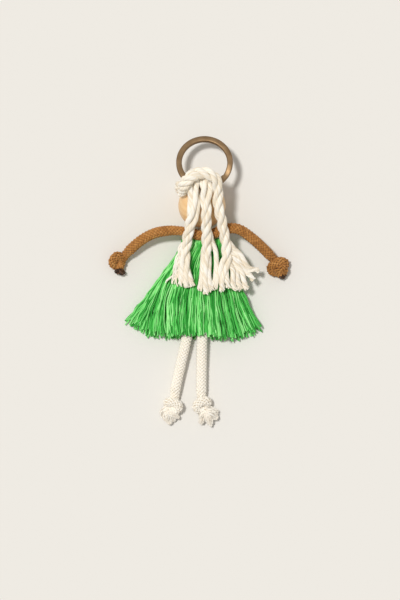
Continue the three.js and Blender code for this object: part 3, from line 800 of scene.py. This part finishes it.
# A ply of twisted yarns along a line of points, brushed out over its last millimetres.
def plyGuide(points, along, yarns, width, fray):
    run = runOf(points)
    loose = np.clip((run - run[-1] + fray) / fray, 0, 1)
    reach = (rope["plyRadius"] - rope["yarnRadius"]) * width * (1 + (rope["frayReach"] - 1) * loose ** 1.5)
    across, rise = turned(-math.tau * run / rope["yarnLay"], *framesOf(points))
    loose = loose * loose * (3 - 2 * loose)
    guide = {"points": points, "across": reach[:, None] * across, "rise": reach[:, None] * rise,
             "loose": loose, "along": along, "thick": 1 - rope["frayThin"] * loose,
             "count": np.full(len(points), float(yarns))}
    for key in ("across", "rise"):
        guide[key][:, 2] *= 1 - rope["frayFlat"] * loose
    if yarns < rope["fewYarns"]:
        return [guide]
    inner = {key: value[run > run[-1] - fray] for key, value in guide.items()}
    inner["loose"] = np.ones(len(inner["points"]))
    inner["count"] = np.full(len(inner["points"]), float(round(yarns * rope["inner"])))
    return [guide, inner]


# Three plies laid round the rope until they part, and then on along their own ways.
def plyGuides(strand):
    path = routeCurve(strand["route"], rope["step"])
    run = runOf(path)
    share = run / run[-1]
    normals, sides = turned(math.radians(strand["roll"]), *framesOf(path))
    openness = np.interp(share, *zip(*strand["open"]))
    widths = (rope["radius"] - rope["plyRadius"]) * openness
    heights = widths / openness.clip(1.0) ** rope["flatten"]
    turns = np.cumsum(rope["step"] / rope["lay"] / np.interp(share, *zip(*strand["lays"])))
    plies = []
    for k in range(3):
        angle = strand["turn"] + math.tau * (k / 3 + turns)
        offset = (heights * np.cos(angle))[:, None] * normals + (widths * np.sin(angle))[:, None] * sides
        plies.append(path + offset)
    parting = int(rope["part"] * (len(path) - 1))
    order = min(itertools.permutations(range(3)), key=lambda pick: sum(
        np.linalg.norm(1000 * plies[ply][parting] - strand["plies"][k][0]) for k, ply in enumerate(pick)))
    guides = []
    back = rope["partSteps"]
    for k, ply in enumerate(order):
        laid = plies[ply][:parting + 1]
        end = routeCurve([*(1000 * laid[-back::back // 3]), *strand["plies"][k]], rope["step"])
        points = evenly(np.vstack([laid[:-back], end]), rope["step"])
        leave = runOf(laid)[-1]
        along = np.interp(runOf(points), [0, leave, leave + 1], [0, run[parting], run[parting] + 1])
        guides += plyGuide(points, along, rope["yarns"], 1.0, rope["fray"])
    for k, own in enumerate(strand["strays"]):
        stray = {**strand["stray"], **own}
        points = routeCurve(stray["route"], rope["step"])
        along = runOf(points)
        wave = math.tau * (along / rope["crimpLength"] + rope["crimpShift"] * k)
        swing = rope["crimp"] * stray["crimp"] * np.clip(along / rope["crimpStart"], 0, 1)
        points += swing[:, None] * turned(wave, *framesOf(points))[0]
        beyond = np.full(len(points), run[-1] + 1)
        guides += plyGuide(points, beyond, stray["yarns"], stray["width"], stray["fray"])
    return guides, path, run, run[parting]


def makeHair(side, strand):
    guides, path, run, parting = plyGuides(strand)
    body = f"hair_{side.lower()}"
    piece = grow(f"hair{side}Rope", yarnTree, guides,
                 {**rope["settings"], "Yarn Radius": rope["yarnRadius"], "Seed": strand["seed"]})
    ends = splitOff(piece, f"hair{side}Ends", parting)
    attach(ends, body)
    first = 0
    if side == "Middle":  # the run through the bead stays with the torso
        top = int(np.argmax(path[:, 1]))
        upper = splitOff(piece, "hairMiddleUpper", run[top])
        piece.name = "hairMiddleCore"
        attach(piece, "torso")
        piece, first = upper, top
        piece.name = "hairMiddleRope"
    at = int(np.argmin(np.linalg.norm(path - pivots[f"{body}_lift"], axis=1)))
    before, after = rope["bend"]
    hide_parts(f"{body}_wrap", f"{body}_tail")
    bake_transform(piece, "torso", body, start=path[at - before], end=path[at + after])


for side, strand in hair.items():
    makeHair(side, strand)


# A limb is braided cord down to its knot, the knot's own turns, and a tuft of cut yarn ends.
tuft = {
    "step": 0.0008,
    "flat": 0.8,
    "thin": 0.4,  # how much thinner each yarn is at its tip
    "width": [(0.0, 0.8), (0.45, 1.0), (1.0, 0.35)],  # along its yarns
}


def makeLimb(name, limb, cord):
    path = routeCurve([*limb["route"], *limb["turns"]], cord["step"])
    run = runOf(path)
    knotStart = run[int(np.argmin(np.linalg.norm(1000 * path - limb["route"][-1], axis=1)))]
    taper = np.clip((run - knotStart) / cord["taper"], 0, 1)
    thick = 1 - (1 - cord["squeeze"]) * taper * taper * (3 - 2 * taper)
    at = int(np.argmin(np.linalg.norm(path - pivots[limb["joint"]], axis=1)))
    if "pinch" in limb:
        thick -= limb["pinch"] * np.exp(-((run - run[at] - cord["pinchAt"]) / cord["pinchReach"]) ** 2)
    guides = [{"points": path, "thick": thick, "along": run}]
    piece = grow(f"{name}Cord", braidTree, guides, {**cord["braid"], "Seed": limb["seed"]})
    knotPiece = splitOff(piece, f"{name}Knot", knotStart)
    locks = []
    for lock in limb["locks"]:
        points = routeCurve([limb["turns"][-1], *lock], tuft["step"])
        share = np.linspace(0, 1, len(points))
        normal, side = framesOf(points)
        reach = cord["tuftReach"] * np.interp(share, *zip(*tuft["width"]))[:, None]
        locks.append({"points": points, "across": normal * reach * tuft["flat"], "rise": side * reach,
                      "loose": np.ones(len(points)), "along": share, "thick": 1 - tuft["thin"] * share,
                      "count": np.full(len(points), cord["tuftYarns"])})
    tuftPiece = grow(f"{name}Tuft", yarnTree, locks, {**cord["tuft"], "Seed": limb["seed"]})
    for part in (knotPiece, tuftPiece):
        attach(part, limb["body"])
    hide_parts(*limb["nodes"])
    around = round(cord["bend"] / cord["step"])
    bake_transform(piece, "torso", limb["body"], start=path[at - around], end=path[at + around])
    print(name, "cord", round(run[-1] * 1000, 1), "mm with its knot")


# Arms: one brown cord under the head, knotted at each hand. Its knit and the legs' braid are drawn with
# 14 strands of 1.2 mm. The real ones have finer loops, which wouldn't show.
armCord = {
    "diameter": 0.0055,
    "step": 0.0006,
    "squeeze": 0.88,  # how thin the cord is pulled in its knot
    "taper": 0.003,
    "bend": 0.002,  # how far on either side of its hinge the cord bends
    "pinchAt": 0.0035,  # how far past the shoulder an arm is pressed thinner by the bead
    "pinchReach": 0.0055,
    "braid": {"Strands": 14, "Cord Radius": 0.00202, "Core Radius": 0.0016, "Strand Radius": 0.00062,
              "Pitch": 0.0125, "Ripple": 0.00042, "Sides": 6, "Material": brownCotton},
    "tuftReach": 0.0018,
    "tuftYarns": 24.0,
    # the hands' tufts take the cut brown, darkened as painted shade
    "tuft": {"Yarn Radius": 0.00036, "Sides": 5, "Wander": 0.002, "Wander Size": 0.004, "Ragged": 0.0015,
             "Material": shadedCutBrown},
    "slot": "arm_cord",
}
arms = {
    "armLeft": {
        "route": [
            [2.6, 24.1, 15.6], [-1.2, 24.5, 15.6], [-3.8, 25.4, 15.5], mm(pivots["shoulder_left"]),
            [-10.4, 26.6, 14.6], [-15.7, 26.8, 13.2], [-23.7, 25.5, 10.9], [-30.6, 22, 8.8],
            [-36.7, 16.9, 6.6],
        ],
        "turns": [
            [-39.3, 14.1, 4.6], [-41.4, 11.5, 3.1], [-43.3, 9.3, 2.6], [-45, 8.5, 3.2], [-46.1, 9.8, 4.9],
            [-45.4, 12.1, 6.2], [-43.5, 13.5, 6.3], [-41.9, 12.5, 5.2], [-41.7, 10.1, 3.6],
            [-42.6, 7.7, 3.1], [-42.6, 6.2, 3.8],
        ],
        "locks": [
            [[-43.4, 5.1, 3.6], [-44.8, 4, 3.2]], [[-42.2, 4.6, 3.6], [-42, 3, 3]],
            [[-41.2, 5.1, 3.6], [-39.6, 3.8, 3.2]],
        ],
        "pinch": 0.12,
        "body": "arm_left",
        "joint": "shoulder_left",
        "nodes": ["arm_left", "arm_middle"],
        "seed": 41,
    },
    "armRight": {
        "route": [
            [2.6, 24.1, 15.6], [6, 24.7, 15.6], [9, 25.8, 15.4], mm(pivots["shoulder_right"]),
            [16.1, 28, 14.6], [20.8, 27.4, 13.7], [26.7, 23.6, 11.8], [33, 18.1, 9.3], [37, 14.1, 7.2],
        ],
        "turns": [
            [39.1, 12, 4.9], [41.2, 9.9, 3], [43.4, 8.5, 2.6], [45.2, 8.8, 3.6], [45, 10, 5.4],
            [42.9, 10.5, 6.5], [40.1, 9.3, 6.3], [38, 7.2, 4.8], [38.9, 5.2, 3], [41.8, 4.8, 2.6],
            [44.5, 5.3, 3.7], [44.4, 6.5, 5.9], [42.6, 6.8, 6.6], [41.8, 5.5, 5.6], [43, 3.8, 4.4],
        ],
        "locks": [
            [[42.7, 3, 3.8], [42.4, 1.7, 3.2]], [[43.9, 2.7, 3.8], [44.3, 1.1, 3]],
            [[44.7, 3.2, 3.6], [45.9, 2.2, 3.2]],
        ],
        "body": "arm_right",
        "joint": "shoulder_right",
        "nodes": ["arm_right"],
        "seed": 43,
    },
}
for name, limb in arms.items():
    makeLimb(name, limb, armCord)

# Legs: one white cord folded at the hips, knotted and frayed at each foot
legCord = {
    "diameter": 0.0055,
    "step": 0.0006,
    "squeeze": 0.9,
    "taper": 0.003,
    "bend": 0.002,
    "braid": {"Strands": 14, "Cord Radius": 0.00208, "Core Radius": 0.0017, "Strand Radius": 0.00062,
              "Pitch": 0.0125, "Ripple": 0.00038, "Sides": 6, "Material": legCotton},
    "tuftReach": 0.0024,
    "tuftYarns": 90.0,
    "tuft": {"Yarn Radius": 0.0003, "Sides": 4, "Wander": 0.0022, "Wander Size": 0.003, "Ragged": 0.0016,
             "Material": legCotton},
    "slot": "leg_cord",
}
legs = {
    "legLeft": {
        "route": [
            [2.8, 16.8, 7.7], [0.7, 16, 7.7], [-0.1, 13.9, 7.7], mm(pivots["hip_left"]), [-0.9, 3.8, 7.2],
            [-2.9, -8.9, 6.6], [-6.6, -28.6, 6.1], [-10.2, -45, 4.8], [-12.9, -57.7, 4],
        ],
        "turns": [
            [-13.2, -60.9, 3.2], [-13.8, -63.8, 2.5], [-15.3, -65.7, 2.6], [-16.8, -65.6, 3.9],
            [-16.7, -64.3, 5.6], [-15.2, -63.9, 6.4], [-13.1, -64.6, 6.5], [-11.3, -66.2, 5.7],
            [-11.7, -67.8, 4.5], [-13.6, -68.2, 3.6], [-15.7, -68, 3.4], [-17.2, -68.5, 3.8],
            [-16.9, -69.4, 4.4],
        ],
        "locks": [
            [[-18.6, -69.4, 4.2], [-19.5, -70.7, 3.6], [-19.2, -72.5, 3]],
            [[-17.1, -71.2, 4.7], [-16.5, -73.6, 3.8], [-15.3, -75.9, 3]],
            [[-14.9, -70.2, 4.7], [-13, -71.5, 4], [-11, -72.7, 3.2]],
            [[-17.8, -70.7, 3.2], [-17.8, -72.8, 2.8], [-17.1, -74.4, 2.4]],
            [[-15.2, -71.2, 3], [-14.1, -73.1, 2.6], [-14.2, -74.7, 2.4]],
        ],
        "body": "leg_left",
        "joint": "hip_left",
        "nodes": ["leg_left", "leg_fold"],
        "seed": 51,
    },
    "legRight": {
        "route": [
            [2.8, 16.8, 7.7], [4.8, 16, 7.7], [5.6, 13.9, 7.7], mm(pivots["hip_right"]), [4.9, 2.7, 7.2],
            [3.1, -12.7, 6.5], [1.4, -29.6, 6.1], [1, -45, 4.8], [0.9, -57.7, 4],
        ],
        "turns": [
            [1, -60.9, 3.2], [1.6, -63.5, 2.5], [2.8, -65.1, 2.6], [4, -64.9, 3.8], [3.8, -63.9, 5.4],
            [2.1, -63.6, 6.4], [0, -64.5, 6.5], [-1.6, -66.1, 5.7], [-1.2, -67.7, 4.6], [0.6, -68.1, 3.8],
            [2.3, -68.3, 3.7], [3.1, -69.2, 4.3],
        ],
        "locks": [
            [[2.2, -71.2, 4.2], [1.3, -73.6, 3.3], [0.6, -76, 2.8]],
            [[4, -71.2, 4.8], [5.1, -74.1, 3.8], [6, -77.1, 2.8]],
            [[5.2, -70.2, 4.8], [7.5, -71.5, 4], [9.5, -73.4, 3.2]],
            [[4.9, -68.7, 3.8], [7.5, -69.3, 3.5], [9.9, -69.6, 3.2]],
            [[3.6, -70.7, 3], [5.4, -72.8, 2.6], [7.1, -74.9, 2.4]],
        ],
        "body": "leg_right",
        "joint": "hip_right",
        "nodes": ["leg_right"],
        "seed": 53,
    },
}
for name, limb in legs.items():
    makeLimb(name, limb, legCord)


# Dress: a fringe of green yarn over the legs and another under them, folded over a thin cord. The yarn is
# drawn 0.7 mm thick. The real one is about half of that, too fine to show.
dress = {
    "neckEdges": [-0.0094, -0.0065, -0.0035, -0.0004, 0.0028, 0.006, 0.0092, 0.0121, 0.015],
    "neckY": 0.0187,
    "middleEdges": [-0.0274, -0.0216, -0.0157, -0.0094, -0.003, 0.0041, 0.0102, 0.0166, 0.0232],
    "middleY": -0.0052,
    "hemEdges": [(-0.0409, -0.0195), (-0.0279, -0.0288), (-0.0168, -0.0296), (-0.0104, -0.0296),
                 (-0.0033, -0.0294), (0.0044, -0.0296), (0.014, -0.0307), (0.024, -0.0299),
                 (0.0333, -0.0248)],
    "overlap": 0.0011,
    "inset": 0.0002,  # how far the yarn stays inside a free edge
    "thinner": 0.0003,  # and inside the fringe's faces
    "flare": {0: 0.002, 8: 0.0007},  # the outermost yarns kick out
    "flarePower": 6,  # and only near the hem
    "fold": [(0.0033, -0.001), (0.0031, 0.0005), (0.0018, 0.0012)],  # forwards and up, over the thin cord
    "foldFlat": 0.2,
    "steps": 20,
    "yarn": {"Yarn Radius": 0.00035, "Sides": 5, "Wander": 0.0032, "Wander Size": 0.011, "Gather": 0.0028,
             "Gather Size": 0.004, "Ragged": 0.003, "Material": greenCotton},
}
fringes = {
    "dressBackFringe": {
        "heights": [(0.0096, 0.0069, 0.005), (0.0114, 0.0092, 0.0066), (0.0126, 0.0121, 0.0108),
                    (0.013, 0.0123, 0.0108), (0.013, 0.0123, 0.0108), (0.0126, 0.0122, 0.0108),
                    (0.0114, 0.0096, 0.0066), (0.0096, 0.0073, 0.005)],
        "halfThickness": (0.002, 0.0021, 0.0013),
        "upward": 1,
        "extra": 0.0,  # how far the hem reaches below the edges
        "gaps": [2, 3],  # edges where the fringe parts
        "yarns": 46.0,
        "seed": 61,
        "nodes": [f"dress_back_{i}" for i in range(1, 9)],
    },
    "dressFrontFringe": {
        "heights": [(0.0053, 0.0027, 0.0019), (0.0042, 0.0024, 0.0019), (0.0034, 0.0022, 0.0019),
                    (0.0031, 0.0022, 0.0019), (0.0031, 0.0022, 0.0019), (0.0034, 0.0022, 0.0019),
                    (0.0042, 0.0024, 0.0019), (0.0053, 0.0027, 0.0019)],
        "halfThickness": (0.0016, 0.0015, 0.0012),
        "upward": -1,
        "extra": 0.0016,
        "gaps": [],
        "yarns": 38.0,
        "seed": 67,
        "nodes": [f"dress_front_{i}" for i in range(1, 9)],
    },
}


def through(values, share):
    start, middle, end = values
    control = 2 * middle - (start + end) / 2
    return (1 - share) ** 2 * start + 2 * share * (1 - share) * control + share ** 2 * end


def makeFringe(name, fringe):
    share = np.linspace(0, 1, dress["steps"])
    freeEdges = [0, *fringe["gaps"], len(fringe["heights"])]
    guides = []
    for i, heights in enumerate(fringe["heights"]):
        edges = []
        for k, way in ((i, -1), (i + 1, 1)):
            hemX, hemY = dress["hemEdges"][k]
            pad = way * (-dress["inset"] if k in freeEdges else dress["overlap"])
            flare = way * dress["flare"].get(k, 0) * share ** dress["flarePower"]
            x = through((dress["neckEdges"][k], dress["middleEdges"][k], hemX), share) + pad * share + flare
            y = through((dress["neckY"], dress["middleY"], hemY), share) - fringe["extra"] * share
            edges.append(np.stack([x, y], 1))
        middle, across, rise = np.zeros((3, len(share), 3))
        middle[:, :2] = (edges[0] + edges[1]) / 2
        middle[:, 2] = through(heights, share)
        across[:, :2] = (edges[1] - edges[0]) / 2
        rise[:, 2] = through(fringe["halfThickness"], share) - dress["thinner"]
        fold = [middle[0] + [0, y, fringe["upward"] * z] for y, z in dress["fold"]]
        size = len(fold) + len(share)
        guides.append({
            "points": np.vstack([fold, middle]),
            "across": np.vstack([across[:1].repeat(len(fold), 0), across]),
            "rise": np.vstack([rise[:1].repeat(len(fold), 0) * dress["foldFlat"], rise]),
            "loose": np.ones(size),
            "along": np.concatenate([np.zeros(len(fold)), share]),
            "thick": np.ones(size),
            "count": np.full(size, fringe["yarns"]),
        })
    piece = grow(name, yarnTree, guides, {**dress["yarn"], "Seed": fringe["seed"]})
    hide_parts(*fringe["nodes"])
    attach(piece, "torso")


for name, fringe in fringes.items():
    makeFringe(name, fringe)


def makeDressCord():
    cord = {
        "radius": 0.00095,
        "plyReach": 0.55,  # where its plies lie, as a share of that
        "plies": 3.0,
        "lay": 0.004,
        "steps": 97,
        "inset": 0.0015,
        "clearance": 0.0003,
        "middleZ": 0.0081,
        "halfHeight": 0.0047,
        "yarn": {"Yarn Radius": 0.00045, "Sides": 8, "Wander": 0.0, "Wander Size": 0.02, "Ragged": 0.0,
                 "Seed": 71, "Material": greenCotton},
    }
    left, right = dress["neckEdges"][0], dress["neckEdges"][-1]
    turn = np.linspace(0, math.tau, cord["steps"])
    even = np.ones(cord["steps"])
    path = np.stack([(left + right) / 2 + ((right - left) / 2 - cord["inset"]) * np.cos(turn),
                     (dress["neckY"] + cord["radius"] + cord["clearance"]) * even,
                     cord["middleZ"] + cord["halfHeight"] * np.sin(turn)], 1)
    run = runOf(path)
    across, rise = turned(math.tau * run / cord["lay"], *framesOf(path))
    reach = cord["radius"] * cord["plyReach"]
    guide = {"points": path, "along": run, "loose": 0 * even, "thick": even, "count": cord["plies"] * even,
             "across": reach * across, "rise": reach * rise}
    piece = grow("dressCord", yarnTree, [guide], cord["yarn"])
    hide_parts("dress_cord")
    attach(piece, "torso")


makeDressCord()
